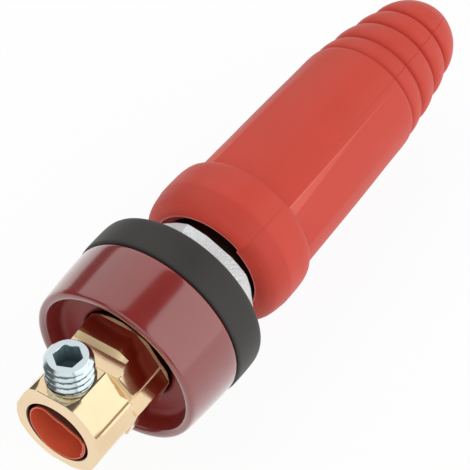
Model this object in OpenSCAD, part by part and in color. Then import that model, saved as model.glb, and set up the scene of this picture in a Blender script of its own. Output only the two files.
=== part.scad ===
// Twist-lock welding cable coupler: a brass plug with its clamping screw and
// copper wrap, locked in an insulated panel socket with a rubber rear sleeve.
// The X axis is the common axis, X = 0 is the face that seats on the panel,
// the plug is on the minus side and +Z is the way the clamping screw points.

/* [Plug clamp] */
// Length of the clamp from its mouth to the hexagon
clamp_len = 11.3; // [11:0.1:20]
// Half of the widest measure over the clamp
clamp_side = 11.5; // [11:0.1:11.8]
// Depth of the clamp below the axis
clamp_bottom = 9.9; // [9.6:0.1:11]
// Height of the top flat above the axis
clamp_top = 10.4; // [9.8:0.1:10.8]
// Half width of the top flat that carries the screw
clamp_top_half = 5.3; // [5.2:0.1:6.5]
// Diameter of the cable bore
bore_d = 15.4; // [13:0.1:15.6]
// Depth of the cable bore
bore_depth = 17; // [14:0.5:20]
// How far the cable bore lies below the axis
bore_drop = 0.9; // [0.4:0.1:1]

/* [Plug hexagon and pin] */
// Length of the hexagon
hex_len = 11.2; // [9:0.1:12]
// How far the top and bottom of the hexagon stand out over the socket's thread
hex_over = 0.4; // [0.1:0.1:0.8]
// Half of the widest measure over the hexagon
hex_side = 12.4; // [12:0.1:13]
// Diameter of the contact pin
pin_d = 13; // [12:0.1:13.5]
// Length of the contact pin beyond the shoulder
pin_len = 22; // [20:0.5:24]
// How far the front of the hexagon stands before the rim of the shell
hex_stand = 7.8; // [6:0.1:8.4]
// Length of the locking lug along the pin
lug_len = 4; // [3:0.1:5]
// Height of the locking lug over the pin
lug_h = 1.7; // [1:0.1:1.9]

/* [Clamping screw] */
// Thread diameter of the clamping screw
screw_d = 10.4; // [8:0.1:10.6]
// Height of the screw end above the axis
screw_top = 16.1; // [15:0.1:18]
// Length of the clamping screw
screw_len = 10.4; // [9:0.1:11]
// Distance of the screw axis from the clamp mouth
screw_from_mouth = 6.8; // [6:0.1:8]
// Size of the hexagon socket over its flats
socket_key = 5.4; // [4:0.1:6]
// Depth of the hexagon socket
socket_depth = 5.5; // [4:0.1:6]

/* [Copper wrap] */
// Outside diameter of the copper wrap
wrap_d = 14.3; // [12:0.1:15]
// Length of the copper wrap
wrap_len = 14; // [10:0.5:15]

/* [Insulating shell] */
// Length of the shell from its rim to the rubber ring
shell_len = 15.3; // [13:0.1:18]
// Diameter at the rim
rim_d = 40.2; // [38:0.1:42]
// Diameter at the rubber ring
shell_rear_d = 42.2; // [40:0.1:44]
// Wall thickness at the rim
rim_wall = 2.1; // [1.6:0.1:3]
// Depth of the recess from the rim
recess_depth = 4.6; // [4:0.1:6]

/* [Rubber ring and panel nut] */
// Thickness of the rubber ring
ring_len = 8.9; // [6:0.1:10]
// How far the rubber ring stands out over the shell
ring_proud = 0.2; // [0:0.1:1]
// Thickness of the panel nut
nut_len = 5.6; // [4:0.1:6]
// Wall of the panel nut between its thread and its flats
nut_wall = 3; // [2:0.1:4]
// Turn of the nut about the axis
nut_turn = 26; // [0:1:60]

/* [Socket body] */
// Thread diameter of the socket body
socket_d = 22; // [21:0.1:23]
// Length of the threaded part behind the panel face
socket_thread_len = 24; // [20:0.5:30]
// Diameter of the terminal stem
stem_d = 15; // [13:0.5:16]
// Length of the terminal stem
stem_len = 8; // [6:0.5:12]

/* [Terminal screw] */
// Thread diameter of the terminal screw
term_d = 8; // [6:0.5:9]
// Size of the screw head over its flats
term_key = 13; // [11:0.5:15]
// Thickness of the screw head
term_head = 5.3; // [4:0.1:7]
// Thickness of the plain washer
washer_t = 1.6; // [1:0.1:2.5]
// Thickness of the spring washer
spring_t = 2; // [1.4:0.1:2.6]
// Length of the screw below the washers
term_len = 12; // [8:0.5:14]

/* [Rubber sleeve] */
// Distance of the sleeve mouth from the panel face
sleeve_from_panel = 8.6; // [7.5:0.1:12]
// Diameter of the collar
collar_d = 36.2; // [34:0.1:40]
// Length of the collar
collar_len = 16.3; // [12:0.1:20]
// Diameter of the body behind the collar
body_d = 32.6; // [31:0.1:34]
// Diameter of the body at the first rib groove
body_end_d = 29.9; // [29:0.1:31]
// Length of the body
body_len = 46.7; // [40:0.1:60]
// Depth of the long flats at the collar
flat_depth = 1.6; // [0.5:0.1:2]
// Wall thickness of the body
sleeve_wall = 3.6; // [3:0.1:4.5]
// Length of the ribbed tail
tail_len = 31.3; // [28:0.1:38]
// Diameter of the cable hole in the tail
cable_hole_d = 8.4; // [6:0.1:9]

/* [Hidden] */
gap = 0.15;
fit = 0.08;
eps = 0.05;
ring_d = shell_rear_d + 2 * ring_proud;
nut_key = socket_d + 2 * nut_wall;
rim_x = -(shell_len + ring_len);
clamp_x0 = rim_x - hex_stand - clamp_len;
clamp_x1 = clamp_x0 + clamp_len;
hex_x1 = clamp_x1 + hex_len;
hex_half_top = socket_d / 2 + hex_over;
floor_x = rim_x + recess_depth;
shoulder_x = floor_x - gap;
pin_x1 = hex_x1 + pin_len;
lug_x0 = pin_x1 - 1.5 - lug_len;
lug_r = pin_d / 2 + lug_h;
screw_x = clamp_x0 + screw_from_mouth;
wrap_x0 = clamp_x0 + 0.7;
socket_r = socket_d / 2;
socket_in_r = pin_d / 2 + fit;
thread_x1 = socket_thread_len;
stem_x1 = thread_x1 + stem_len;
washer_x1 = stem_x1 + washer_t;
spring_x1 = washer_x1 + spring_t;
head_x1 = spring_x1 + term_head;
mouth_x = sleeve_from_panel;
collar_x1 = mouth_x + collar_len;
body_x1 = collar_x1 + body_len;
tail_x1 = body_x1 + tail_len;
grip_r = socket_r + gap;
rib_r = body_end_d / 2;
core_r = rib_r - sleeve_wall;
hole_r = cable_hole_d / 2;

module turned() {
    rotate([0, 90, 0]) rotate_extrude($fn = 96) children();
}

module along(x0, x1) {
    translate([x0, 0, 0]) rotate([90, 0, 90]) linear_extrude(height = x1 - x0) children();
}

// Outline of the clamp seen along the axis
module clamp_outline() {
    for (m = [0, 1]) mirror([m, 0]) polygon([
        [-eps, clamp_top], [clamp_top_half, clamp_top], [clamp_top_half + 2.3, clamp_top - 1.6],
        [clamp_side - 1.3, 4.2], [clamp_side, -0.4], [clamp_side - 1.2, -5.2],
        [clamp_top_half + 2.1, 0.9 - clamp_bottom], [clamp_top_half, -clamp_bottom], [-eps, -clamp_bottom]]);
}

// Outline of the hexagon, whose corners are broken by narrow flats
module hex_outline() {
    for (m = [0, 1]) mirror([m, 0]) polygon([
        [-eps, hex_half_top], [clamp_top_half, hex_half_top], [clamp_top_half + 2.7, hex_half_top - 1.5],
        [hex_side - 1.6, 5], [hex_side, 0.2], [hex_side - 1.4, -5],
        [clamp_top_half + 2.7, 1.3 - hex_half_top], [clamp_top_half, -hex_half_top], [-eps, -hex_half_top]]);
}

// Brass plug: clamp, hexagon and contact pin with its locking lug in one piece
module plug_body() {
    color([0.80, 0.63, 0.36])
    difference() {
        union() {
            intersection() {
                union() {
                    along(clamp_x0, clamp_x1 + eps) clamp_outline();
                    along(clamp_x1, hex_x1) hex_outline();
                }
                turned() polygon([
                    [0, clamp_x0], [clamp_top + 0.25, clamp_x0], [clamp_top + 2.45, clamp_x0 + 6.1],
                    [hex_side + 0.6, clamp_x1 - 0.1], [hex_side + 0.6, hex_x1 - 1.2],
                    [hex_half_top + 0.3, hex_x1], [0, hex_x1]]);
            }
            turned() polygon([
                [0, hex_x1 - 1], [9.6, hex_x1 - 1], [9.6, shoulder_x], [pin_d / 2, shoulder_x],
                [pin_d / 2, pin_x1 - 1], [pin_d / 2 - 1, pin_x1], [0, pin_x1]]);
            intersection() {
                along(lug_x0, lug_x0 + lug_len) translate([-2, 0]) square([4, lug_r + 1]);
                turned() translate([0, lug_x0]) square([lug_r, lug_len]);
            }
        }
        translate([clamp_x0 - 1, 0, -bore_drop]) rotate([0, 90, 0])
            cylinder(h = bore_depth + 1, d = bore_d, $fn = 96);
        translate([screw_x, 0, 0]) cylinder(h = 30, d = screw_d + 2 * gap, $fn = 64);
        translate([screw_x, 0, clamp_top - 0.6])
            cylinder(h = 1, d1 = screw_d, d2 = screw_d + 2, $fn = 64);
    }
}

// Clamping screw with a hexagon socket in its upper end
module clamp_screw() {
    color([0.80, 0.84, 0.86])
    translate([screw_x, 0, screw_top - screw_len])
    difference() {
        union() {
            cylinder(h = 1.2, d1 = screw_d - 2.4, d2 = screw_d, $fn = 64);
            translate([0, 0, 1.2]) cylinder(h = screw_len - 2.2, d = screw_d, $fn = 64);
            translate([0, 0, screw_len - 1]) cylinder(h = 1, d1 = screw_d, d2 = screw_d - 1.8, $fn = 64);
        }
        translate([0, 0, screw_len - socket_depth])
            cylinder(h = socket_depth + 1, d = socket_key / cos(30), $fn = 6);
    }
}

// Copper foil rolled round the cable end inside the clamp
module copper_wrap() {
    color([0.72, 0.30, 0.20])
    translate([wrap_x0, 0, -bore_drop - (bore_d - wrap_d) / 2 + 0.06])
    rotate([0, 90, 0])
    difference() {
        cylinder(h = wrap_len, d = wrap_d, $fn = 96);
        translate([0, 0, -1]) cylinder(h = wrap_len + 2, d = wrap_d - 1, $fn = 96);
        translate([-wrap_d, -screw_d / 2 - 0.4, screw_x - wrap_x0 - screw_d / 2 - 0.4])
            cube([wrap_d, screw_d + 0.8, screw_d + 0.8]);
    }
}

// Moulded insulating shell round the front of the socket body
module front_shell() {
    color([0.45, 0.11, 0.12])
    turned() polygon([
        [rim_d / 2 - 0.9, rim_x], [rim_d / 2 - 0.25, rim_x + 0.3], [rim_d / 2, rim_x + 1],
        [shell_rear_d / 2 - 0.1, -ring_len - 0.5], [shell_rear_d / 2 - 0.6, -ring_len],
        [socket_r + gap, -ring_len], [socket_r + gap, floor_x],
        [rim_d / 2 - rim_wall - 2.2, floor_x], [rim_d / 2 - rim_wall - 1.4, floor_x - 0.4],
        [rim_d / 2 - rim_wall - 1, floor_x - 1.2], [rim_d / 2 - rim_wall - 0.2, rim_x + 1.1],
        [rim_d / 2 - rim_wall, rim_x + 0.5], [rim_d / 2 - rim_wall + 0.6, rim_x]]);
}

// Thick rubber ring that seals the socket against the panel
module rubber_ring() {
    color([0.20, 0.20, 0.19])
    turned() polygon([
        [socket_r + gap, -ring_len + gap], [ring_d / 2 - 0.4, -ring_len + gap],
        [ring_d / 2, -ring_len + 0.6], [ring_d / 2 - 0.2, -1], [ring_d / 2 - 0.7, 0],
        [socket_r + gap, 0]]);
}

// Hexagon nut that holds the socket in the panel
module panel_nut() {
    color([0.82, 0.85, 0.86])
    difference() {
        intersection() {
            along(gap, nut_len) rotate(nut_turn) circle(d = nut_key / cos(30), $fn = 6);
            turned() polygon([
                [0, 0], [nut_key / 2, 0], [nut_key / 2 + 3, 1.4], [nut_key / 2 + 3, nut_len - 1.2],
                [nut_key / 2 + 0.4, nut_len], [0, nut_len]]);
        }
        translate([-1, 0, 0]) rotate([0, 90, 0])
            cylinder(h = nut_len + 2, d = socket_d + 2 * gap, $fn = 96);
    }
}

// Brass socket body: pin bore with lug slot, panel thread and terminal stem
module socket_body() {
    color([0.78, 0.60, 0.33])
    difference() {
        turned() polygon([
            [0, floor_x], [socket_r, floor_x], [socket_r, thread_x1 - 1], [socket_r - 1, thread_x1],
            [stem_d / 2, thread_x1], [stem_d / 2, stem_x1], [0, stem_x1]]);
        translate([floor_x - 1, 0, 0]) rotate([0, 90, 0])
            cylinder(h = pin_x1 + 1 + 1 - floor_x, r = socket_in_r, $fn = 96);
        turned() translate([0, lug_x0 - 0.4]) square([lug_r + 0.3, lug_len + 0.8]);
        along(floor_x - 1, lug_x0) rotate(90) translate([0, -2.4]) square([lug_r + 0.3, 4.8]);
        translate([stem_x1 - term_len - 1, 0, 0]) rotate([0, 90, 0])
            cylinder(h = term_len + 2, d = term_d + 2 * gap, $fn = 64);
    }
}

// Hexagon head screw that clamps the fixed cable's lug
module terminal_screw() {
    color([0.80, 0.84, 0.86]) {
        difference() {
            along(spring_x1 + eps, head_x1) circle(d = term_key / cos(30), $fn = 6);
            translate([head_x1 - 0.6, 0, 0]) rotate([0, 90, 0]) cylinder(h = 1, d = term_key - 4, $fn = 48);
        }
        translate([stem_x1 - term_len, 0, 0]) rotate([0, 90, 0])
            cylinder(h = spring_x1 - stem_x1 + term_len + 1, d = term_d, $fn = 64);
    }
}

module plain_washer() {
    color([0.74, 0.78, 0.80])
    translate([stem_x1 + eps, 0, 0]) rotate([0, 90, 0])
    difference() {
        cylinder(h = washer_t - 2 * eps, d = 2 * term_d + 1, $fn = 64);
        translate([0, 0, -1]) cylinder(h = washer_t + 2, d = term_d + 0.6, $fn = 64);
    }
}

// Split spring washer under the screw head
module spring_washer() {
    color([0.66, 0.70, 0.72])
    translate([washer_x1 + eps, 0, 0]) rotate([0, 90, 0])
    difference() {
        cylinder(h = spring_t - 2 * eps, d = term_d + 5, $fn = 64);
        translate([0, 0, -1]) cylinder(h = spring_t + 2, d = term_d + 0.6, $fn = 64);
        rotate(20) translate([0, -0.5, -1]) cube([term_d + 4, 1, spring_t + 2]);
    }
}

// Long shallow flat on the sleeve body that runs out before the ribs
module sleeve_flat(turn, depth) {
    run = body_len * 0.9;
    rotate([turn, 0, 0])
        translate([collar_x1 - 0.3, -20, body_d / 2 - depth])
            rotate([0, -atan((depth - (body_d - body_end_d) / 2) / run), 0])
                cube([body_len, 40, 10]);
}

// Rubber sleeve over the rear of the socket, with a ribbed tail for the cable
module rear_sleeve() {
    t = tail_len / 32;
    color([0.80, 0.31, 0.26])
    difference() {
        turned() polygon([
            [grip_r + 1.9, mouth_x], [collar_d / 2 - 3.2, mouth_x],
            [collar_d / 2 - 1.4, mouth_x + 0.8], [collar_d / 2 - 0.3, mouth_x + 2.6],
            [collar_d / 2, mouth_x + 5], [collar_d / 2 - 0.1, collar_x1 - 3],
            [collar_d / 2 - 0.7, collar_x1 - 0.6], [collar_d / 2 - 1.3, collar_x1],
            [body_d / 2, collar_x1 + 0.2], [rib_r + 0.3, body_x1 - 12],
            [rib_r, body_x1 - 2], [rib_r - 0.5, body_x1 - 0.5], [rib_r - 1.1, body_x1],
            [rib_r - 0.6, body_x1 + 0.5], [rib_r - 0.3, body_x1 + 2 * t], [rib_r - 0.7, body_x1 + 4.4 * t],
            [rib_r - 1.3, body_x1 + 5.7 * t], [rib_r - 1.9, body_x1 + 6.1 * t], [rib_r - 1.3, body_x1 + 6.6 * t],
            [rib_r - 1, body_x1 + 8.2 * t], [rib_r - 1.6, body_x1 + 11.6 * t], [rib_r - 2.4, body_x1 + 13.3 * t],
            [rib_r - 3.2, body_x1 + 13.9 * t], [rib_r - 2.6, body_x1 + 14.5 * t], [rib_r - 2.3, body_x1 + 16 * t],
            [rib_r - 3, body_x1 + 19 * t], [rib_r - 3.7, body_x1 + 20.3 * t], [rib_r - 4.4, body_x1 + 20.8 * t],
            [rib_r - 3.9, body_x1 + 21.5 * t], [rib_r - 3.8, body_x1 + 22.6 * t], [rib_r - 4.6, body_x1 + 25.2 * t],
            [rib_r - 5.9, body_x1 + 27.9 * t], [rib_r - 7.5, body_x1 + 30.1 * t], [rib_r - 9, body_x1 + 31.5 * t],
            [rib_r - 10, tail_x1], [hole_r, tail_x1], [hole_r, tail_x1 - 12],
            [core_r - 4, body_x1 + 8], [core_r, body_x1 - 10], [core_r, collar_x1 + 10],
            [grip_r + 0.6, collar_x1], [grip_r, collar_x1 - 2], [grip_r, mouth_x + 2.2]]);
        sleeve_flat(8, flat_depth);
        sleeve_flat(-52, flat_depth * 0.7);
        sleeve_flat(68, flat_depth * 0.7);
        sleeve_flat(128, flat_depth * 0.7);
        sleeve_flat(188, flat_depth);
        sleeve_flat(248, flat_depth * 0.7);
    }
}

plug_body();
clamp_screw();
copper_wrap();
front_shell();
rubber_ring();
panel_nut();
socket_body();
terminal_screw();
plain_washer();
spring_washer();
rear_sleeve();
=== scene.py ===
import bpy
import numpy as np
from mathutils import Matrix, Vector


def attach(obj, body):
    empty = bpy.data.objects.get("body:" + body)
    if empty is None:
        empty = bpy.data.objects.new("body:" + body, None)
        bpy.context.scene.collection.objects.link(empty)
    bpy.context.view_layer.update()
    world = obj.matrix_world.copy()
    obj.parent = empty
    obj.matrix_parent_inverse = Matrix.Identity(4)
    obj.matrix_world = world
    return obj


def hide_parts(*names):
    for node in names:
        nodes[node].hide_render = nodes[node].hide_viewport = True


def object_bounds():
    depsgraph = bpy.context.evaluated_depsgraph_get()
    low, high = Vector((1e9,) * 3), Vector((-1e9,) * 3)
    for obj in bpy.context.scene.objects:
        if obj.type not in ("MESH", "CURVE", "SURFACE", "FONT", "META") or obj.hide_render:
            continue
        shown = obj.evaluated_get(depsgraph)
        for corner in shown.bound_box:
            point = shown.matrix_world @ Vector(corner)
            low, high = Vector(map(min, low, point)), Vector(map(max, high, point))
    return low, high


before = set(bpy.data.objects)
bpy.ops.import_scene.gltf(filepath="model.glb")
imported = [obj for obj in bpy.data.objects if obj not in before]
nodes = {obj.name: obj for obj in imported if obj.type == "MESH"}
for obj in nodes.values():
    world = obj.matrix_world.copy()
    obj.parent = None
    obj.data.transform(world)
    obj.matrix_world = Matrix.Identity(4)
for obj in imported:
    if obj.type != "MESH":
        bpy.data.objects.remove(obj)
cad_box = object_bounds()
MM = 0.001
scene = bpy.context.scene
scene.view_settings.view_transform = "Standard"

# Camera: a long lens that looks down on the connector from the clamp end, so that
# the plug is near and the cable tail runs away to the upper right.
SENSOR_MM = 36
FOCAL_PX = 2000
FRAME_PX = 470
CLIP_END = 20
CAMERA_PLACE = (-0.215214, -0.177429, 0.325299)
CAMERA_RIGHT = (0.56939, -0.82128, -0.03586)
CAMERA_UP = (0.62317, 0.40277, 0.6704)
CAMERA_BACK = (-0.53614, -0.40406, 0.74114)
camera = bpy.data.objects.new("camera", bpy.data.cameras.new("camera"))
camera.data.sensor_width = SENSOR_MM
camera.data.lens = FOCAL_PX / FRAME_PX * SENSOR_MM
camera.data.clip_end = CLIP_END
camera_axes = Matrix((CAMERA_RIGHT, CAMERA_UP, CAMERA_BACK)).transposed().to_4x4()
camera.matrix_world = Matrix.Translation(CAMERA_PLACE) @ camera_axes
scene.collection.objects.link(camera)
scene.camera = camera

# Studio: a white floor under the shell, white surroundings and three soft boxes. Two of them
# stand over the connector with a narrow gap between, which the glossy shell mirrors as a band.
AMBIENT, MIRRORED_AMBIENT = 0.36, 0.12
AMBIENT_COLOUR, WHITE = (1, 0.985, 0.97, 1), (1, 1, 1, 1)
FLOOR_DROP, FLOOR_HALF = 0.002, 3
FLOOR_GREY, FLOOR_WHITE_SHARE = (0.93, 0.93, 0.93, 1), 0.93
MIRROR_NEAR, MIRROR_FAR = 0.14, 0.26
MIRROR_NEAR_SHARE, MIRROR_FAR_SHARE = 0.9, 0.12


def feed(tree, socket, value):
    """Links an input socket to an output socket, or sets it to a value."""
    if isinstance(value, bpy.types.NodeSocket):
        tree.links.new(value, socket)
    else:
        socket.default_value = value


def node_of(tree, kind, **inputs):
    """A shader node with the named input sockets fed."""
    node = tree.nodes.new(kind)
    for key, value in inputs.items():
        feed(tree, node.inputs[key.replace("_", " ")], value)
    return node


def maths(tree, operation, *values):
    """What a math node makes of numbers and sockets."""
    node = tree.nodes.new("ShaderNodeMath")
    node.operation = operation
    for socket, value in zip(node.inputs, values):
        feed(tree, socket, value)
    return node.outputs[0]


def mixed_light(tree, share, lit, glow):
    """The lit shader, with the given share of it replaced by the glow."""
    mix = tree.nodes.new("ShaderNodeMixShader")
    for socket, value in zip(mix.inputs, (share, lit.outputs[0], glow.outputs[0])):
        feed(tree, socket, value)
    return mix.outputs[0]


world = bpy.data.worlds.new("studio")
scene.world = world
world.use_nodes = True
sky = world.node_tree
sky.nodes.clear()
ray = sky.nodes.new("ShaderNodeLightPath").outputs
seen = maths(sky, "MAXIMUM", ray["Is Camera Ray"], ray["Is Transmission Ray"])
strength = node_of(sky, "ShaderNodeMapRange", Value=ray["Is Glossy Ray"],
                   To_Min=AMBIENT, To_Max=MIRRORED_AMBIENT).outputs[0]
ambient = node_of(sky, "ShaderNodeBackground", Color=AMBIENT_COLOUR, Strength=strength)
white = node_of(sky, "ShaderNodeBackground", Color=WHITE, Strength=1.0)
node_of(sky, "ShaderNodeOutputWorld", Surface=mixed_light(sky, seen, ambient, white))

floor_z = cad_box[0][2] - FLOOR_DROP
floor_corners = [(-FLOOR_HALF, -FLOOR_HALF, floor_z), (FLOOR_HALF, -FLOOR_HALF, floor_z),
                 (FLOOR_HALF, FLOOR_HALF, floor_z), (-FLOOR_HALF, FLOOR_HALF, floor_z)]
floor_mesh = bpy.data.meshes.new("studio_floor")
floor_mesh.from_pydata(floor_corners, [], [(0, 1, 2, 3)])
floor = bpy.data.objects.new("studio_floor", floor_mesh)
scene.collection.objects.link(floor)
floor_paint = bpy.data.materials.new("studio_floor")
floor_paint.use_nodes = True
ground = floor_paint.node_tree
ground.nodes.clear()
ray = ground.nodes.new("ShaderNodeLightPath").outputs
distance = ground.nodes.new("ShaderNodeVectorMath")
distance.operation = "LENGTH"
feed(ground, distance.inputs[0], ground.nodes.new("ShaderNodeTexCoord").outputs["Object"])
mirrored = node_of(ground, "ShaderNodeMapRange", Value=distance.outputs["Value"],
                   From_Min=MIRROR_NEAR, From_Max=MIRROR_FAR,
                   To_Min=MIRROR_NEAR_SHARE, To_Max=MIRROR_FAR_SHARE).outputs[0]
mirrored = maths(ground, "MULTIPLY", ray["Is Glossy Ray"], mirrored)
share = maths(ground, "MULTIPLY_ADD", ray["Is Camera Ray"], FLOOR_WHITE_SHARE, mirrored)
lit = node_of(ground, "ShaderNodeBsdfDiffuse", Color=FLOOR_GREY)
glow = node_of(ground, "ShaderNodeEmission", Color=WHITE, Strength=1.0)
node_of(ground, "ShaderNodeOutputMaterial", Surface=mixed_light(ground, share, lit, glow))
floor_mesh.materials.append(floor_paint)


def soft_box(name, turn, lean, size, radiance, distance):
    """A lamp that faces the connector from a place turned about its axis from +Y, leaning towards the
    tail. Its sides lie along and across that turn, so its edges mirror as straight bands. Its power is
    the radiance times pi times its area."""
    angle = np.radians(turn)
    level = np.sqrt(1 - lean ** 2)
    to_lamp = Vector((lean, level * np.cos(angle), level * np.sin(angle)))
    across = Vector((0, -np.sin(angle), np.cos(angle)))
    lamp = bpy.data.lights.new(name, "AREA")
    lamp.shape = "RECTANGLE"
    lamp.size, lamp.size_y = size
    lamp.energy = radiance * np.pi * size[0] * size[1]
    box = bpy.data.objects.new(name, lamp)
    axes = Matrix((across, to_lamp.cross(across), to_lamp)).transposed().to_4x4()
    box.matrix_world = Matrix.Translation(to_lamp * distance) @ axes
    scene.collection.objects.link(box)


soft_box("lamp_right", turn=150, lean=0.3, size=(1.15, 1.75), radiance=1.2, distance=0.9)
soft_box("lamp_left", turn=53, lean=0.3, size=(1.05, 1.75), radiance=0.85, distance=0.9)
soft_box("lamp_front", turn=105, lean=-0.78, size=(1.7, 1.0), radiance=0.9, distance=1.3)

# Rear sleeve: soft red rubber, moulded in two halves and pushed over the back of the
# socket. It has a round collar, long flats that die out and a ribbed tail for the cable.
# Lengths are in millimetres and angles in degrees, from +Y towards +Z.
MOUTH, COLLAR_END, RIBS, TAIL_END = 8.6, 24.1, 71.6, 102.5
COLLAR_R, BODY_R, HOLE_R, LIP_R = 18.05, 16.3, 4.2, 13.1
SLEEVE_STEP, ROUND_STEP = 0.55, 1.8
FLAT_MIDDLE, FLAT_HALF, FLAT_DEPTH = 96.5, 40, 2.6
WEDGE, WEDGE_LEN, SIDE_END, SIDE_DEPTH = 8.0, 33, 78, 0.85
SEAM_ANGLES, SEAM_WIDTH, SEAM_HEIGHT, SEAM_CUT = (130.5, 310.5), 0.35, 0.13, 0.14
SEAM_ZONE, SEAM_STEPS = 1.3, 15
LIP_RAISED, LIP_LOWERED = 0.5, 0.4
# The colours laid over the red rubber below are painted light: painted highlights on the wedge, the crest
# and the lip's edge, painted shade on the dome, and painted light round the lip.
DOME, WEDGE_HIGHLIGHT_LEN, CREST_HIGHLIGHT_LEN, CREST_TURN = 6.9, 49.5, 47.14, 39.6
WEDGE_HIGHLIGHT = (0.74, 0.14, 0.10, 1)
DOME_PAINTED_SHADE = (0.42, 0.028, 0.018, 1)
CREST_HIGHLIGHT = (0.95, 0.36, 0.30, 1)
LIP_PAINTED_LIGHT = (0.95, 0.105, 0.07, 1)
LIP_EDGE_HIGHLIGHT = (1.0, 0.42, 0.34, 1)
sleeve_line = [
    (MOUTH + 1.7, 12.9), (MOUTH + 0.86, 12.95), (MOUTH + 0.76, 12.97), (MOUTH + 0.7, 13.03),
    (MOUTH + 0.7, 13.13), (MOUTH + 0.74, 13.8), (MOUTH + 0.9, 14.9), (MOUTH + 1.4, 16.1),
    (MOUTH + 2.5, 17.1), (MOUTH + 4.4, 17.65), (MOUTH + 6.8, 17.95), (MOUTH + 7, COLLAR_R),
    (MOUTH + 10, COLLAR_R), (COLLAR_END - 3, 18.0), (COLLAR_END - 1.2, 17.75), (COLLAR_END - 0.5, 17.45),
    (COLLAR_END, 17.0), (COLLAR_END + 0.1, 16.6), (COLLAR_END + 0.5, 16.35), (COLLAR_END + 1.5, BODY_R),
    (COLLAR_END + 12, 16.05), (COLLAR_END + 25, 15.75), (RIBS - 8, 15.1), (RIBS - 2.5, 14.95),
    (RIBS - 0.9, 14.75), (RIBS - 0.25, 14.3), (RIBS - 0.08, 13.4), (RIBS + 0.08, 13.4),
    (RIBS + 0.25, 13.95), (RIBS + 0.9, 14.35), (RIBS + 2.2, 14.4), (RIBS + 4.2, 14.05),
    (RIBS + 5.4, 13.4), (RIBS + 5.8, 12.2), (RIBS + 5.95, 12.2), (RIBS + 6.2, 13.0), (RIBS + 7, 13.55),
    (RIBS + 8.6, 13.65), (RIBS + 11.3, 13.05), (RIBS + 12.7, 12.3), (RIBS + 13.3, 10.9),
    (RIBS + 13.45, 10.9), (RIBS + 13.7, 11.7), (RIBS + 14.5, 12.25), (RIBS + 16, 12.35),
    (RIBS + 18.4, 11.7), (RIBS + 19.6, 11.0), (RIBS + 20.2, 9.6), (RIBS + 20.35, 9.6),
    (RIBS + 20.6, 10.5), (RIBS + 21.4, 10.95), (RIBS + 22.8, 10.85), (RIBS + 25.2, 10.1),
    (RIBS + 27.6, 8.8), (RIBS + 29.4, 7.2), (RIBS + 30.6, 5.9), (TAIL_END - 0.2, 5), (TAIL_END, 4.7),
    (TAIL_END - 0.4, HOLE_R), (TAIL_END - 12, HOLE_R), (RIBS + 8, 7.6), (RIBS - 10, 11.4),
    (COLLAR_END + 10, 11.5), (COLLAR_END, 11.7), (MOUTH + 10, 11.4), (MOUTH + 4, 11.4),
    (MOUTH + 2.6, 11.5), (MOUTH + 2, 12.6)]


def smooth_line(points, rounds=3):
    """Cuts every corner of a closed line at a quarter and three quarters of each side, some times over."""
    line = np.array(points, float)
    for _ in range(rounds):
        after = np.roll(line, -1, axis=0)
        line = np.stack([0.75 * line + 0.25 * after, 0.25 * line + 0.75 * after], axis=1).reshape(-1, 2)
    return line


def even_steps(line, step, kept=None):
    """Points along a closed line, each about a step from the next, at equal lengths along it,
    and also the line's own points where kept is true, so that a sharp lip stays sharp."""
    closed = np.vstack([line, line[:1]])
    run = np.concatenate([[0], np.cumsum(np.linalg.norm(np.diff(closed, axis=0), axis=1))])
    places = np.linspace(0, run[-1], int(run[-1] / step), endpoint=False)
    if kept is not None:
        places = np.unique(np.concatenate([places, run[:-1][kept]]))
    return np.stack([np.interp(places, run, closed[:, 0]), np.interp(places, run, closed[:, 1])], axis=1)


def turned(profile, angles, change=None):
    """Carries a profile of (x, r) round the X axis: y = r cos a and z = r sin a. change gives what is
    added to r for every x, angle and r. The columns go from the last angle to the first, so the faces
    point outwards where the outside of the profile runs to -X, and inwards where it runs to +X."""
    x = np.repeat(profile[:, :1], len(angles), axis=1)
    r = np.repeat(profile[:, 1:], len(angles), axis=1)
    if change is not None:
        r = r + change(x, np.broadcast_to(angles, r.shape), r)
    return np.stack([x, r * np.cos(angles), r * np.sin(angles)], axis=-1)[:, ::-1]


def grid_piece(name, points, capped=False, sharp=None):
    """A mesh over a rows x columns x 3 array in millimetres: each face joins a point to its neighbours
    in the next row and column. Columns close on themselves. Rows do too, or else the first and the last
    are capped. Edges over the sharp angle stay sharp."""
    rows, columns = points.shape[:2]
    ids = np.arange(rows * columns).reshape(rows, columns)
    here, beyond = (ids[:-1], ids[1:]) if capped else (ids, np.roll(ids, -1, axis=0))
    quads = np.stack([here, np.roll(here, -1, axis=1), np.roll(beyond, -1, axis=1), beyond], axis=-1)
    faces = quads.reshape(-1, 4).tolist()
    if capped:
        faces += [ids[0][::-1].tolist(), ids[-1].tolist()]
    mesh = bpy.data.meshes.new(name)
    mesh.from_pydata((points.reshape(-1, 3) * MM).tolist(), [], faces)
    mesh.polygons.foreach_set("use_smooth", np.ones(len(mesh.polygons), bool))
    if sharp:
        mesh.set_sharp_from_angle(angle=np.radians(sharp))
    mesh.update()
    piece = bpy.data.objects.new(name, mesh)
    scene.collection.objects.link(piece)
    return piece


def dress(piece, *materials):
    """Gives a piece or a CAD node these materials in place of its own."""
    piece.data.materials.clear()
    for material in materials:
        piece.data.materials.append(material)


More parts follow.
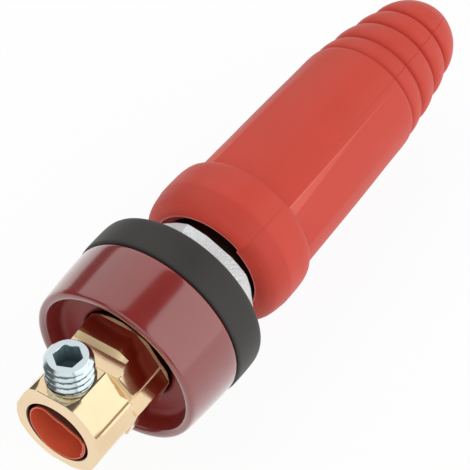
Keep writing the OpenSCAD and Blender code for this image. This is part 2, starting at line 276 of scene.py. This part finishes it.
def surface_material(name, colour, roughness, grain_mm, grain_height, metallic=0.0, tint=0.06,
                     stretch=(1, 1, 1), **sockets):
    """A principled surface. A broad noise in object coordinates makes its colour lighter and darker by
    the tint and its roughness by a tenth, and a fine noise stands up as a grain of the given height in
    millimetres. A small stretch along an axis draws the grain out that way."""
    material = bpy.data.materials.new(name)
    material.use_nodes = True
    tree = material.node_tree
    where = tree.nodes.new("ShaderNodeTexCoord").outputs["Object"]
    drift = node_of(tree, "ShaderNodeTexNoise", Vector=where, Scale=70.0, Detail=3.0).outputs["Fac"]
    shades = tree.nodes.new("ShaderNodeValToRGB")
    feed(tree, shades.inputs[0], drift)
    for stop, place, level in zip(shades.color_ramp.elements, (0.35, 0.65), (1 - tint, 1 + tint)):
        stop.position = place
        stop.color = [min(part * level, 1.0) for part in colour] + [1]
    rough = node_of(tree, "ShaderNodeMapRange", Value=drift, To_Min=roughness * 0.9, To_Max=roughness * 1.1)
    drawn = node_of(tree, "ShaderNodeMapping", Vector=where, Scale=stretch).outputs[0]
    grain = node_of(tree, "ShaderNodeTexNoise", Vector=drawn, Scale=1 / (grain_mm * MM), Detail=4.0)
    bump = node_of(tree, "ShaderNodeBump", Height=grain.outputs["Fac"], Strength=1.0,
                   Distance=grain_height * MM)
    surface = dict(Base_Color=shades.outputs[0], Roughness=rough.outputs[0], Normal=bump.outputs[0],
                   Metallic=metallic, **sockets)
    for key, value in surface.items():
        feed(tree, tree.nodes["Principled BSDF"].inputs[key.replace("_", " ")], value)
    return material


def sleeve_change(x, a, r):
    """What is added to r. Two broad flats and four side flats each lower it by their depth times one
    minus the squared distance from their middle, less and less from the collar to the ribs. The mould
    seam stands up along two lines on the body, and cuts into the ribs. The two mould halves don't quite
    meet at the mouth, so one half of the lip is lowered and the other raised."""
    deg = np.degrees(a)
    body = (x > COLLAR_END + 0.15) & (x < RIBS - 1) & (r > 13)
    left = 1 - np.clip((x - COLLAR_END) / (RIBS - 4 - COLLAR_END), 0, 1)
    start = np.clip((x - COLLAR_END - 0.15) / 0.6, 0, 1)
    side_start = FLAT_HALF + WEDGE * np.clip(1 - (x - COLLAR_END) / WEDGE_LEN, 0, 1)
    side_middle = (side_start + SIDE_END) / 2
    change = np.zeros_like(r)
    for middle in (FLAT_MIDDLE, FLAT_MIDDLE + 180):
        away = np.abs((deg - middle + 180) % 360 - 180)
        flat = FLAT_DEPTH * (1 - (away / FLAT_HALF) ** 2)
        side = SIDE_DEPTH * (1 - ((away - side_middle) / (SIDE_END - side_middle)) ** 2)
        change -= np.where(away <= FLAT_HALF, flat, 0)
        change -= np.where((away > side_start) & (away < SIDE_END), side, 0)
    change = np.where(body, change * left * start, 0)
    near_lip = np.clip((15.5 - r) / 2, 0, 1) * np.clip((r - 12.2) / 0.5, 0, 1)
    near_lip = near_lip * np.clip((MOUTH + 4 - x) / 1.5, 0, 1)
    change += near_lip * np.where((deg - SEAM_ANGLES[0]) % 360 < 180, -LIP_LOWERED, LIP_RAISED)
    for seam in SEAM_ANGLES:
        off = (deg - seam + 180) % 360 - 180
        height = np.where(x > RIBS - 0.5, -SEAM_CUT, SEAM_HEIGHT)
        change += np.where(r > 8, height * np.exp(-(off / SEAM_WIDTH) ** 2), 0)
    return change


sleeve_curve = smooth_line(sleeve_line)
on_lip = (sleeve_curve[:, 0] < MOUTH + 1) & (sleeve_curve[:, 1] < 13.5)
sleeve_profile = even_steps(sleeve_curve, SLEEVE_STEP, kept=on_lip)
seam_zones = [np.linspace(seam - SEAM_ZONE, seam + SEAM_ZONE, SEAM_STEPS) % 360 for seam in SEAM_ANGLES]
sleeve_angles = np.concatenate([np.arange(0, 360, ROUND_STEP)] + seam_zones)
sleeve_angles = np.radians(np.unique(np.round(sleeve_angles, 3)))
sleeve = grid_piece("sleeve_rubber", turned(sleeve_profile, sleeve_angles, sleeve_change))
red_rubber = surface_material("red_rubber", (0.585, 0.057, 0.034), 0.5, 0.25, 0.01, tint=0.02,
                              Specular_IOR_Level=0.3, Sheen_Weight=0.05, Sheen_Roughness=0.5)
rubber = red_rubber.node_tree


def ramp(value, start, end, low=0.0, high=1.0):
    """Low where the value is at or before the start, high at or past the end, straight between."""
    return node_of(rubber, "ShaderNodeMapRange", Value=value, From_Min=start, From_Max=end,
                   To_Min=low, To_Max=high).outputs[0]


def times(first, second):
    """The product of two values in the red rubber."""
    return maths(rubber, "MULTIPLY", first, second)


def lay_colour(colour, share):
    """Lays a colour over what the red rubber has so far, in the given share."""
    paint = rubber.nodes["Principled BSDF"].inputs["Base Color"]
    mix = rubber.nodes.new("ShaderNodeMix")
    mix.data_type = "RGBA"
    feed(rubber, mix.inputs[0], share)
    feed(rubber, mix.inputs[6], paint.links[0].from_socket)
    feed(rubber, mix.inputs[7], colour)
    feed(rubber, paint, mix.outputs[2])


place = node_of(rubber, "ShaderNodeSeparateXYZ", Vector=rubber.nodes["Texture Coordinate"].outputs["Object"])
along, across, up = place.outputs
turn = maths(rubber, "ARCTAN2", up, across)
from_flat = maths(rubber, "SUBTRACT", turn, np.radians(FLAT_MIDDLE))
from_flat = maths(rubber, "ABSOLUTE", maths(rubber, "WRAP", from_flat, np.pi / 2, -np.pi / 2))
wedge_end = ramp(along, (COLLAR_END + WEDGE_LEN) * MM, COLLAR_END * MM,
                 np.radians(FLAT_HALF), np.radians(FLAT_HALF + WEDGE))
wedge = maths(rubber, "MINIMUM", ramp(from_flat, np.radians(FLAT_HALF), np.radians(FLAT_HALF) + 0.008),
              ramp(maths(rubber, "SUBTRACT", wedge_end, from_flat), 0, 0.03))
past_collar = ramp(along, (COLLAR_END + 0.2) * MM, (COLLAR_END + 0.6) * MM)
wedge = maths(rubber, "MINIMUM", wedge, past_collar)
# Painted highlight: a lighter red on the narrow wedge beside the top flat, fading out towards the ribs.
lay_colour(WEDGE_HIGHLIGHT, times(wedge, ramp(along, (COLLAR_END + WEDGE_HIGHLIGHT_LEN) * MM, COLLAR_END * MM, 0, 0.6)))
# Painted shade: the collar's front dome, up to DOME from the mouth, is painted darker.
lay_colour(DOME_PAINTED_SHADE, ramp(along, (MOUTH + DOME) * MM, (MOUTH + DOME - 0.6) * MM, 0, 0.35))
# Painted highlight: a thin lighter line along the crease between the top flat and the wedge, fading out
# towards the ribs.
from_crest = maths(rubber, "ABSOLUTE", maths(rubber, "SUBTRACT", from_flat, np.radians(CREST_TURN)))
crest = times(ramp(from_crest, 0.013, 0), past_collar)
lay_colour(CREST_HIGHLIGHT, times(crest, ramp(along, (COLLAR_END + CREST_HIGHLIGHT_LEN) * MM, COLLAR_END * MM, 0, 0.5)))
radius = maths(rubber, "SQRT", maths(rubber, "ADD", times(across, across), times(up, up)))
lower_half = maths(rubber, "SINE", maths(rubber, "SUBTRACT", turn, np.radians(SEAM_ANGLES[0])))
lower_half = maths(rubber, "GREATER_THAN", lower_half, 0)
radius = maths(rubber, "ADD", maths(rubber, "SUBTRACT", radius, LIP_RAISED * MM),
               times(lower_half, (LIP_RAISED + LIP_LOWERED) * MM))
mouth_end = ramp(along, (MOUTH + 3.5) * MM, (MOUTH + 1.5) * MM)
# Painted light: the rubber round the lip is painted lighter, against the shade that the nut and the ring
# cast there.
lay_colour(LIP_PAINTED_LIGHT, times(ramp(radius, (LIP_R + 4.1) * MM, (LIP_R - 0.1) * MM), mouth_end))
# Painted highlight: a thin bright line along the lip's edge.
from_lip = maths(rubber, "ABSOLUTE", maths(rubber, "SUBTRACT", radius, (LIP_R + 0.1) * MM))
lay_colour(LIP_EDGE_HIGHLIGHT, times(ramp(from_lip, 0.22 * MM, 0), mouth_end))
dress(sleeve, red_rubber)
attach(sleeve, "sleeve")
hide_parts("rear_sleeve")

# Sealing ring: a thick moulded ring of black rubber that the nut pulls against the
# panel. Its rear edge is tapered, and its front edge is sharp against the shell.
RING_R, RING_BORE, RING_FRONT, RING_STEP = 21.3, 11.2, -8.75, 0.35
ring_line = [
    (RING_FRONT, RING_BORE), (RING_FRONT, 15), (RING_FRONT, RING_R - 0.9), (-8.72, RING_R - 0.25),
    (-8.4, RING_R - 0.05), (-6, RING_R), (-3, RING_R), (-1.1, RING_R - 0.1), (-0.25, RING_R - 0.45),
    (0, RING_R - 1.1), (0, 15), (0, RING_BORE)]
round_angles = np.radians(np.arange(0, 360, ROUND_STEP))
ring = grid_piece("seal_ring", turned(even_steps(smooth_line(ring_line), RING_STEP), round_angles))
black_rubber = surface_material("black_rubber", (0.034, 0.031, 0.029), 0.55, 0.3, 0.015, tint=0.1,
                                Specular_IOR_Level=0.35, Sheen_Weight=0.06, Sheen_Roughness=0.5)
dress(ring, black_rubber)
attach(ring, "socket")
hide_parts("rubber_ring")

# Shell: a cup of hard dark red plastic, pressed on the front of the socket so that
# nobody can touch live brass. The rim is round, and the wall grows towards the ring.
RIM, CUP_FLOOR, SHELL_REAR = -24.2, -19.6, -8.9
RIM_R, REAR_R, SHELL_BORE, SHELL_STEP = 20.1, 21.1, 11.15, 0.3
shell_line = [
    (SHELL_REAR, 11.2), (SHELL_REAR, 16), (SHELL_REAR, REAR_R - 0.9), (-8.95, REAR_R - 0.45),
    (-9.3, REAR_R - 0.15), (-12, REAR_R - 0.2), (-17, 20.65), (RIM + 2.2, 20.25), (RIM + 1.0, RIM_R + 0.02),
    (RIM + 0.35, RIM_R - 0.2), (RIM + 0.05, RIM_R - 0.6), (RIM, RIM_R - 1.1), (RIM + 0.05, RIM_R - 1.6),
    (RIM + 0.4, RIM_R - 2.0), (RIM + 1.1, RIM_R - 2.25), (RIM + 2.4, RIM_R - 2.7),
    (CUP_FLOOR - 1.0, RIM_R - 3.0), (CUP_FLOOR - 0.3, RIM_R - 3.4), (CUP_FLOOR, RIM_R - 4.2),
    (CUP_FLOOR + 0.1, 14.6), (CUP_FLOOR + 0.1, SHELL_BORE), (CUP_FLOOR + 1.5, SHELL_BORE)]
shell = grid_piece("shell_moulding", turned(even_steps(smooth_line(shell_line), SHELL_STEP), round_angles))
shell_plastic = surface_material("shell_plastic", (0.225, 0.0125, 0.010), 0.22, 0.8, 0.002, tint=0.05,
                                 Coat_Weight=1.0, Coat_Roughness=0.14, Coat_IOR=1.75)
shell_inside = surface_material("shell_inside", (0.25, 0.015, 0.012), 0.45, 0.8, 0.006, tint=0.15,
                                Coat_Weight=0.12, Coat_Roughness=0.3, Coat_IOR=1.5, Specular_IOR_Level=0.35)
dress(shell, shell_plastic, shell_inside)


def face_centres(piece):
    """The x, y and z of the middle of every face, in millimetres."""
    centres = np.empty(len(piece.data.polygons) * 3)
    piece.data.polygons.foreach_get("center", centres)
    return (centres / MM).reshape(-1, 3).T


def lay_materials(piece, numbers):
    """Gives every face the material of that number on the piece."""
    piece.data.polygons.foreach_set("material_index", np.asarray(numbers, np.int32))


x, y, z = face_centres(shell)
lay_materials(shell, (np.hypot(y, z) < RIM_R - 2.1) & (x < CUP_FLOOR + 0.5))
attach(shell, "socket")
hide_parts("front_shell")

# Panel nut: pressed steel with bright zinc, hexagonal, turned down a little at its
# corners. It pulls the ring and the shell against the panel.
NUT_X, NUT_END, NUT_KEY, NUT_TURN, NUT_BORE = 0.15, 6.45, 28.0, 26.0, 11.15
nut_turns = np.radians(np.unique(np.concatenate([np.arange(0, 360, 2.0), NUT_TURN + 60 * np.arange(6)])))


def nut_rows():
    """Rings from the bore's front edge out over the six flats and back to the bore's rear edge. A flat's
    r is half the key size over the cosine of the angle from its middle. Each ring is held under two
    cones, one at either end, which turn its corners down. Columns go from the last angle to the first."""
    front = np.linspace(NUT_X, NUT_X + 1.3, 8)
    rear = np.linspace(NUT_END - 1.4, NUT_END, 9)
    x = np.concatenate([[NUT_X], front, rear, [NUT_END]])
    hexagon = NUT_KEY / 2 / np.cos((nut_turns - np.radians(NUT_TURN)) % (np.pi / 3) - np.pi / 6)
    cones = np.minimum(NUT_KEY / 2 + (x - NUT_X) * 2.2, NUT_KEY / 2 + 0.45 + (NUT_END - x) * 2.0)
    r = np.minimum(hexagon[None], cones[:, None])
    r[[0, -1]] = NUT_BORE
    x = np.repeat(x[:, None], len(nut_turns), axis=1)
    return np.stack([x, r * np.cos(nut_turns), r * np.sin(nut_turns)], axis=-1)[:, ::-1]


nut = grid_piece("panel_nut_zinc", nut_rows(), sharp=12)
stamped_zinc = surface_material("stamped_zinc", (0.82, 0.87, 0.88), 0.3, 0.45, 0.35, metallic=0.7, tint=0.12)
dress(nut, stamped_zinc)
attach(nut, "nut")
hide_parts("panel_nut")

# Terminal screw with its plain and spring washers: zinc-plated steel, turned into the
# stem of the socket inside the sleeve, where it holds the lug of a cable.
zinc = surface_material("bright_zinc", (0.64, 0.73, 0.76), 0.18, 0.35, 0.006, metallic=1.0, tint=0.06)
for name in ("terminal_screw", "plain_washer", "spring_washer"):
    dress(nodes[name], zinc)

# Socket body: a turned brass bush with the contact bore in front and the panel
# thread behind, painted nearly black as painted shade for the dark gap inside the sleeve's mouth.
socket_painted_shade = surface_material("socket_painted_shade", (0.06, 0.045, 0.035), 0.42, 0.6, 0.01, metallic=1.0, tint=0.1)
dress(nodes["socket_body"], socket_painted_shade)

# Plug: one brass turning. Its round pin locks in the socket, its hexagon takes a
# spanner, and its clamp end is milled to flats, bored for the cable and tapped for the screw.
# Outlines are in millimetres, as (y, z) seen along the axis.
CLAMP_X, STEP_X, HEX_END, NECK_END, PIN_END = -43.3, -32.0, -20.8, -19.7, 1.2
CLAMP_TOP, HEX_TOP, HEX_R = 10.4, 11.9, 13.7
SHOULDER_X, SHOULDER = -27.2, 0.95
BORE_R, BORE_DROP, BORE_END, DRILL_END = 7.7, 0.9, 17, 19
FRONT_CONE_R, FRONT_CONE_TILT, FRONT_CONE_SLOPE = 11.1, 0.12, 0.18
REAR_CONE_R, REAR_CONE_SLOPE, REAR_CONE_LEN = 11.9, 0.9, 1.2
NECK_R, PIN_R, LUG_R, LUG_HALF_TURN, LUG_X, LUG_END = 9.6, 6.45, 8.2, 0.24, -4.3, -0.3
SCREW_X, SCREW_Y, SCREW_R, SCREW_GAP = -36.5, 0.3, 5.2, 0.12
BROKEN_EDGE, PLUG_SHARP, PLUG_STEP = 0.16, 9, 0.6
GROOVE_TURNS, CORNER_TURNS = (154.6, 158.4), (155.2, 158.0)
clamp_corners = [
    (5.1, 10.4), (7.5, 7.0), (10.1, 1.8), (10.6, -1.6), (10.2, -4.6), (7.6, -9.0), (3.0, -11.0),
    (-4.8, -10.9), (-7.9, -8.2), (-9.8, -4.6), (-11.75, -0.2), (-10.95, 3.7), (-10.35, 4.35),
    (-10.4, 4.95), (-7.6, 8.8), (-5.1, 10.4)]
hex_front = [
    (5.0, 11.9), (7.6, 7.3), (10.4, 2.2), (11.3, -1.5), (10.7, -5.5), (7.4, -10.4), (-3.6, -11.5),
    (-8.8, -7.9), (-12.2, 0.9), (-10.55, 4.4), (-11.5, 7.1), (-8.3, 10.5), (-4.9, 11.9)]
hex_rear = [
    (6.0, 11.8), (8.2, 7.7), (10.6, 2.6), (11.3, -1.5), (10.7, -5.5), (7.4, -10.4), (-3.6, -11.5),
    (-8.8, -7.9), (-12.6, 1.2), (-10.7, 4.2), (-10.1, 4.8), (-7.4, 9.2), (-4.7, 11.9)]


def broken(corners):
    """The outline with each corner replaced by two points a little way along its two sides."""
    corners = np.array(corners, float)
    before = np.roll(corners, 1, axis=0) - corners
    after = np.roll(corners, -1, axis=0) - corners
    before /= np.linalg.norm(before, axis=1, keepdims=True)
    after /= np.linalg.norm(after, axis=1, keepdims=True)
    ends = [corners + BROKEN_EDGE * before, corners + BROKEN_EDGE * after]
    return np.stack(ends, axis=1).reshape(-1, 2)


def reach(outline, angles):
    """How far a ray at each angle runs from the axis to the outline: for the side it crosses, the cross
    product of the side's start with the side, over that of the ray with the side."""
    start = outline[None]
    side = (np.roll(outline, -1, axis=0) - outline)[None]
    ray = np.stack([np.cos(angles), np.sin(angles)], axis=1)[:, None]
    across = ray[..., 0] * side[..., 1] - ray[..., 1] * side[..., 0]
    across = np.where(np.abs(across) < 1e-9, 1e-9, across)
    along_ray = (start[..., 0] * side[..., 1] - start[..., 1] * side[..., 0]) / across
    along_side = (start[..., 0] * ray[..., 1] - start[..., 1] * ray[..., 0]) / across
    crossed = (along_side >= -1e-6) & (along_side <= 1 + 1e-6) & (along_ray > 0)
    return np.where(crossed, along_ray, 0).max(axis=1)


clamp_line = broken(clamp_corners)
corner_turns = np.arctan2(clamp_line[:, 1], clamp_line[:, 0]) % (2 * np.pi)
plug_turns = np.concatenate([np.radians(np.arange(0, 360, PLUG_STEP)), corner_turns])
plug_turns = np.unique(np.round(plug_turns, 5))
clamp_r = reach(clamp_line, plug_turns)


def plug_rows():
    """Rings from the floor of the bore out of its mouth and back along the outside to the pin's end.
    On the clamp each ring is the outline held under a cone that opens from the front face. On the
    hexagon it is a blend of the front and rear outlines, milled level with the clamp's top up to a
    slanting shoulder, and held under a cone at the rear."""
    def ring_at(x, radius, drop=0.0):
        radius = np.broadcast_to(radius, plug_turns.shape)
        return np.stack([np.full(plug_turns.shape, x), radius * np.cos(plug_turns),
                         radius * np.sin(plug_turns) - drop], -1)

    def hexagon_at(x, limit=HEX_R):
        share = (x - STEP_X) / (HEX_END - STEP_X)
        line = (1 - share) * np.array(hex_front) + share * np.array(hex_rear)
        return np.minimum(reach(broken(line), plug_turns), limit)

    def milled(x, radius):
        top = CLAMP_TOP + (HEX_TOP - CLAMP_TOP) * np.clip((x - SHOULDER_X) / SHOULDER + 1, 0, 1)
        upward = np.sin(plug_turns)
        return ring_at(x, np.minimum(radius, np.where(upward > 0.5, top / np.maximum(upward, 0.5), radius)))

    cone = FRONT_CONE_R - FRONT_CONE_TILT * np.sin(plug_turns)
    rows = [ring_at(CLAMP_X + DRILL_END, 0.05, BORE_DROP), ring_at(CLAMP_X + BORE_END, BORE_R, BORE_DROP),
            ring_at(CLAMP_X + 6, BORE_R, BORE_DROP), ring_at(CLAMP_X + 0.25, BORE_R, BORE_DROP),
            ring_at(CLAMP_X, BORE_R + 0.2, BORE_DROP), ring_at(CLAMP_X, np.minimum(clamp_r, cone) - 0.12)]
    for back in np.arange(0.08, 6.1, 0.2):
        rows.append(ring_at(CLAMP_X + back, np.minimum(clamp_r, cone + FRONT_CONE_SLOPE * back)))
    rows += [ring_at(STEP_X - 0.12, clamp_r), ring_at(STEP_X, clamp_r + 0.05)]
    rows += [milled(STEP_X, hexagon_at(STEP_X) - 0.15), milled(STEP_X + 0.15, hexagon_at(STEP_X))]
    for x in (-31, -30, -29, SHOULDER_X - SHOULDER, SHOULDER_X, SHOULDER_X + 0.05, -26, -25, -24, -23):
        rows.append(milled(x, hexagon_at(x)))
    for x in np.linspace(HEX_END - REAR_CONE_LEN, HEX_END, 7):
        rows.append(ring_at(x, hexagon_at(x, REAR_CONE_R + REAR_CONE_SLOPE * (HEX_END - x))))
    rows += [ring_at(HEX_END, NECK_R), ring_at(NECK_END, NECK_R)]
    rows += [ring_at(NECK_END, PIN_R + 0.15), ring_at(NECK_END + 0.2, PIN_R)]
    lug = np.where(np.abs(plug_turns - np.pi / 2) < LUG_HALF_TURN, LUG_R, PIN_R)
    rows += [ring_at(LUG_X, PIN_R), ring_at(LUG_X, lug), ring_at(LUG_END, lug), ring_at(LUG_END, PIN_R)]
    rows += [ring_at(PIN_END - 1, PIN_R), ring_at(PIN_END, PIN_R - 0.95), ring_at(PIN_END, 0.05)]
    return np.stack(rows)


def cut_round_hole(piece, radius, base, tip):
    """Takes a round hole out of a closed piece, from base up to the height of tip."""
    turns = np.radians(np.arange(0, 360, 5))
    ring = np.stack([base[0] + radius * np.cos(turns), base[1] + radius * np.sin(turns)], -1)
    low = np.column_stack([ring, np.full(len(turns), base[2])])
    high = np.column_stack([ring, np.full(len(turns), tip)])
    tool = grid_piece(piece.name + "_tool", np.stack([low, high]), capped=True)
    cut = piece.modifiers.new("hole", "BOOLEAN")
    cut.object, cut.operation, cut.solver = tool, "DIFFERENCE", "EXACT"
    done = bpy.data.meshes.new_from_object(piece.evaluated_get(bpy.context.evaluated_depsgraph_get()))
    piece.modifiers.clear()
    piece.data = done
    done.polygons.foreach_set("use_smooth", np.ones(len(done.polygons), bool))
    done.set_sharp_from_angle(angle=np.radians(PLUG_SHARP))
    bpy.data.objects.remove(tool)


plug = grid_piece("plug_brass", plug_rows(), capped=True, sharp=PLUG_SHARP)
cut_round_hole(plug, SCREW_R + SCREW_GAP, (SCREW_X, SCREW_Y, 0), 14)
brass = surface_material("machined_brass", (0.87, 0.67, 0.43), 0.12, 0.3, 0.006, metallic=1.0, tint=0.05,
                         stretch=(1, 0.06, 0.06))
# Painted highlight: the shoulder, the step, the rear chamfer and one corner strip get a lighter, less
# metallic brass that the lamps light evenly, with the rougher finish of milling.
milled_brass_painted_highlight = surface_material("milled_brass_painted_highlight", (1.0, 0.73, 0.43), 0.33, 0.3, 0.008, metallic=0.25, tint=0.1)
# Painted shade: the faces of the groove on the clamp get a darker brass.
groove_painted_shade = surface_material("groove_painted_shade", (0.4, 0.27, 0.15), 0.35, 0.3, 0.01, metallic=1.0, tint=0.12)
# Painted shade: the bore's wall is painted near black, tinted red as a painted reflection of the copper in
# it.
bore_painted_shade = surface_material("bore_painted_shade", (0.085, 0.032, 0.022), 0.4, 0.3, 0.01, metallic=0.3, tint=0.2)
dress(plug, brass, milled_brass_painted_highlight, groove_painted_shade, bore_painted_shade)
x, y, z = face_centres(plug)
turn = np.degrees(np.arctan2(z, y))
# Material 1 carries the painted highlight, 2 the painted shade in the groove and 3 the painted shade in the
# bore.
shoulder = (x > SHOULDER_X - SHOULDER) & (x < SHOULDER_X + 0.03) & (z > CLAMP_TOP)
rear_chamfer = (x > HEX_END - 0.75) & (x < HEX_END - 0.01)
step = np.abs(x - STEP_X) < 0.07
corner = (x > STEP_X + 0.1) & (x < HEX_END - 0.7) & (turn > CORNER_TURNS[0]) & (turn < CORNER_TURNS[1])
bore_wall = (x > CLAMP_X + 0.1) & (x < CLAMP_X + DRILL_END) & (np.hypot(y, z + BORE_DROP) < BORE_R + 0.15)
groove = (x > CLAMP_X + 0.3) & (x < STEP_X) & (turn > GROOVE_TURNS[0]) & (turn < GROOVE_TURNS[1])
lay_materials(plug, np.select([shoulder | rear_chamfer | step | corner, bore_wall, groove], [1, 3, 2]))
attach(plug, "plug")
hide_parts("plug_body")

# Clamping screw: a zinc-plated set screw with a hexagon socket, turned down on the
# copper wrap so that the cable can't pull out.
SCREW_TOP, SCREW_LEN, PITCH, THREAD_DEPTH = 16.6, 10.9, 1.75, 0.8
KEY, KEY_TURN, KEY_DEPTH, TIP_DEPTH = 5.3, 0.12, 5.0, 6.2
screw_turns = np.radians(np.arange(0, 360, 2.0))


def screw_rows():
    """Rings from the lower end up: r is the thread's ridge on the ring's height and angle, held
    under a cone at both ends, then the end face runs in to a hexagon that goes down to its floor."""
    def ring_at(radius, height):
        radius = np.broadcast_to(radius, screw_turns.shape)
        return np.stack([radius * np.cos(screw_turns), radius * np.sin(screw_turns),
                         np.full(screw_turns.shape, height)], -1)[None]

    height = np.arange(0.0, SCREW_LEN + 0.01, 0.1)[:, None]
    phase = (height / PITCH - screw_turns[None] / (2 * np.pi)) % 1
    root = np.clip(np.abs(phase - 0.5) * 2.4 - 0.1, 0, 1)
    r = SCREW_R - THREAD_DEPTH * root
    r = np.minimum(r, SCREW_R - 1.3 + height * 0.9)
    r = np.minimum(r, SCREW_R - 0.95 + (SCREW_LEN - height) * 0.9)
    side = np.stack([r * np.cos(screw_turns), r * np.sin(screw_turns), np.broadcast_to(height, r.shape)], -1)
    hexagon = KEY / 2 / np.cos(((screw_turns + KEY_TURN) % (np.pi / 3)) - np.pi / 6)
    rows = np.concatenate([
        ring_at(0.05, 0.0), ring_at(SCREW_R - 1.5, 0.0), side,
        ring_at(r[-1] - 0.3, SCREW_LEN + 0.02), ring_at(hexagon + 0.12, SCREW_LEN + 0.02),
        ring_at(hexagon, SCREW_LEN - 0.12), ring_at(hexagon, SCREW_LEN - KEY_DEPTH),
        ring_at(hexagon * 0.9, SCREW_LEN - KEY_DEPTH - 0.1), ring_at(0.05, SCREW_LEN - TIP_DEPTH)])
    return rows + (SCREW_X, SCREW_Y, SCREW_TOP - SCREW_LEN)


screw = grid_piece("clamp_screw_thread", screw_rows(), capped=True, sharp=40)
# Painted shade: the hexagon socket and the roots of the thread are painted in a dark zinc.
painted_shade_zinc = surface_material("painted_shade_zinc", (0.13, 0.20, 0.225), 0.6, 0.35, 0.01, metallic=0.3, tint=0.1)
dress(screw, zinc, painted_shade_zinc)
x, y, z = face_centres(screw)
from_middle = np.hypot(x - SCREW_X, y - SCREW_Y)
depth = SCREW_TOP - z
key_hole = (from_middle < KEY * 0.62) & (depth > 0.05) & (depth < 7)
thread_root = (from_middle < SCREW_R - 0.5) & (from_middle > KEY * 0.62) & (depth > 1.2)
lay_materials(screw, key_hole | thread_root)
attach(screw, "screw")
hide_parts("clamp_screw")

# Copper wrap: thin soft foil rolled a little over one turn round the stripped strands,
# pressed in under the screw. Its inside and its edges are bright copper; its outside is painted dark as
# painted shade, where it lies in the bore.
WRAP_X, WRAP_LEN, WRAP_Y, WRAP_Z, WRAP_R, FOIL = -43.2, 14.0, 0.12, -1.4, 7.12, 0.3
FOIL_START, FOIL_TURN, LAP_START, LAP_TURN, LAP_GAP = 168, 405, 300, 60, 0.1
PRESSED, PRESSED_TURN, PRESSED_POWER = 4.95, 111, 9
FOIL_ROWS, FOIL_COLUMNS = 150, 40


def foil_points():
    """A sheet rolled in a spiral. Its radius shrinks by one thickness and a gap over the lap. Where the
    screw has pressed it, r is the soft minimum of the circle and a flat, the root of the sum of their
    negative powers. Its front edge waves a little. Each row goes out along one side and back along the
    other."""
    share = np.linspace(0, 1, FOIL_ROWS)[:, None]
    a = np.radians(FOIL_START + FOIL_TURN * share)
    out = np.linspace(0, 1, FOIL_COLUMNS)
    along = np.concatenate([out, out[::-1]])[None]
    inside = np.repeat([0.0, 1.0], FOIL_COLUMNS)[None]
    lap = np.clip((share * FOIL_TURN - LAP_START) / LAP_TURN, 0, 1)
    flat = PRESSED / np.maximum(np.cos(a - np.radians(PRESSED_TURN)), 0.2)
    r = (WRAP_R ** -PRESSED_POWER + flat ** -PRESSED_POWER) ** (-1 / PRESSED_POWER)
    r = r - (FOIL + LAP_GAP) * lap - FOIL * inside + 0.05 * np.sin(3 * a + 6 * along)
    x = WRAP_X + WRAP_LEN * along + (0.12 * np.sin(2 * a + 1) + 0.06 * np.sin(7 * a)) * (1 - along)
    x = np.broadcast_to(x, r.shape)
    return np.stack([x, WRAP_Y + r * np.cos(a), WRAP_Z + r * np.sin(a)], -1)


foil = grid_piece("copper_foil", foil_points(), capped=True, sharp=50)
copper = surface_material("copper_foil", (0.78, 0.135, 0.06), 0.4, 1.5, 0.02, metallic=0.05, tint=0.12)
painted_shade_copper = surface_material("painted_shade_copper", (0.16, 0.045, 0.028), 0.45, 1.5, 0.02, metallic=0.2, tint=0.2)
dress(foil, copper, painted_shade_copper)
# Painted shade: the faces on the foil's outside get the dark copper.
outer = np.zeros(len(foil.data.polygons), np.int32)
outer[:-2].reshape(FOIL_ROWS - 1, 2 * FOIL_COLUMNS)[:, 1:FOIL_COLUMNS - 1] = 1
lay_materials(foil, outer)
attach(foil, "plug")
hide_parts("copper_wrap")
